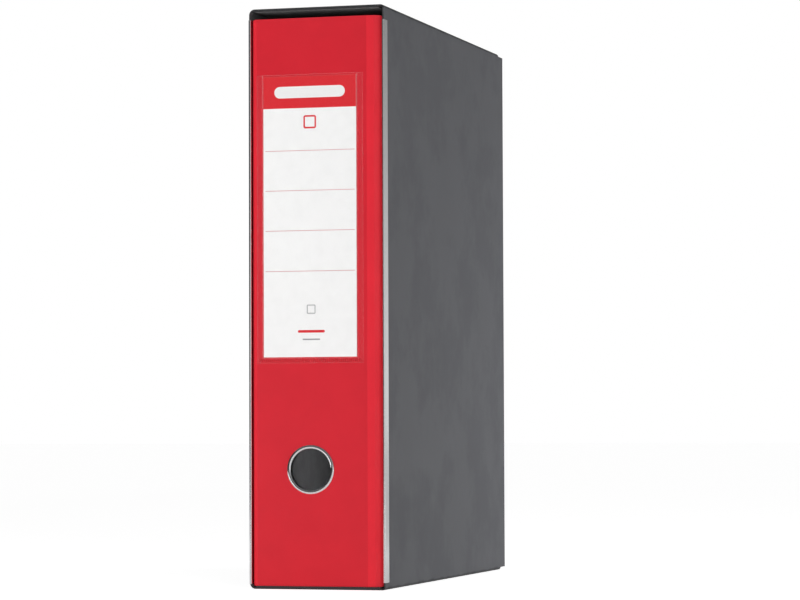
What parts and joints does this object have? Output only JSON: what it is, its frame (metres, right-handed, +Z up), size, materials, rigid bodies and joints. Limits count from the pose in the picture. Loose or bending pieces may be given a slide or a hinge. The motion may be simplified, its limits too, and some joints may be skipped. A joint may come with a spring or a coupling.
{
  "type": "lever arch file",
  "caption": "Lever arch file in its slipcase: spine with finger ring and label pocket; lever, arches, posts and compressor bar on the back cover.",
  "frame": {"origin": "centre of the slipcase's footprint, on the surface it stands on", "axes": "+Z up along the spine, -Y out of the spine towards the user, +X across the thickness from the back cover to the front cover"},
  "size_m": [0.0856, 0.286, 0.35],
  "materials": {
    "case_board": "matt grey covering paper on board",
    "edge_steel": "bright plated strip",
    "cover_film": "smooth semi-gloss film",
    "cover_board": "raw grey board",
    "lining_paper": "matt dark grey paper",
    "ring_chrome": "polished",
    "pocket_film": "clear film",
    "label_card": "printed card",
    "mechanism_steel": "nickel plated sheet steel",
    "wire_steel": "nickel plated wire",
    "black_plastic": "fine moulded texture"
  },
  "bodies": {
    "slipcase": {"case_board_left": "case_board", "case_board_right": "case_board", "case_roof_liner": "case_board", "case_floor_liner": "case_board", "case_back_liner": "case_board", "edge_strip_left": "edge_steel", "edge_strip_right": "edge_steel"},
    "file": {"cover_film": "cover_film", "spine_board": "cover_board", "back_cover_board": "cover_board", "front_cover_board": "cover_board", "spine_lining": "lining_paper", "back_cover_lining": "lining_paper", "front_cover_lining": "lining_paper", "finger_ring": "ring_chrome", "finger_ring_washer": "ring_chrome", "label_pocket": "pocket_film", "base_plate": "mechanism_steel", "post_upper": "wire_steel", "post_lower": "wire_steel", "lever_pin": "mechanism_steel", "cover_rivets": "mechanism_steel"},
    "label": {"spine_label": "label_card"},
    "arches": {"arch_wire": "wire_steel"},
    "lever": {"lever": "mechanism_steel", "lever_grip": "black_plastic", "roller_pin": "mechanism_steel"},
    "roller": {"roller": "wire_steel"},
    "compressor": {"compressor_bar": "mechanism_steel", "compressor_slide_upper": "black_plastic", "compressor_slide_lower": "black_plastic"}
  },
  "joints": [
    {"name": "file_slide", "type": "slide", "parent": "slipcase", "child": "file", "axis": [0, -1, 0], "range_m": [0, 0.28]},
    {"name": "label_slide", "type": "slide", "parent": "file", "child": "label", "axis": [0, 0, 1], "range_m": [0, 0.039]},
    {"name": "lever_lift", "type": "hinge", "parent": "file", "child": "lever", "pos_m": [-0.01365, -0.0968, 0.17683], "axis": [0, -1, 0], "range_deg": [0, 85]},
    {"name": "arch_swing", "type": "hinge", "parent": "file", "child": "arches", "pos_m": [-0.0292, -0.1108, 0.17283], "axis": [0, 0, -1], "range_deg": [0, 36]},
    {"name": "roller_spin", "type": "hinge", "parent": "lever", "child": "roller", "pos_m": [-0.02315, -0.0968, 0.17683], "axis": [0, 1, 0], "range_deg": [0, 238]},
    {"name": "compressor_slide", "type": "slide", "parent": "file", "child": "compressor", "axis": [1, 0, 0], "range_m": [0, 0.032]}
  ],
  "couplings": [
    {"joint": "arch_swing", "follows": "lever_lift", "ratio": 0.42353},
    {"joint": "roller_spin", "follows": "lever_lift", "ratio": 2.8}
  ]
}
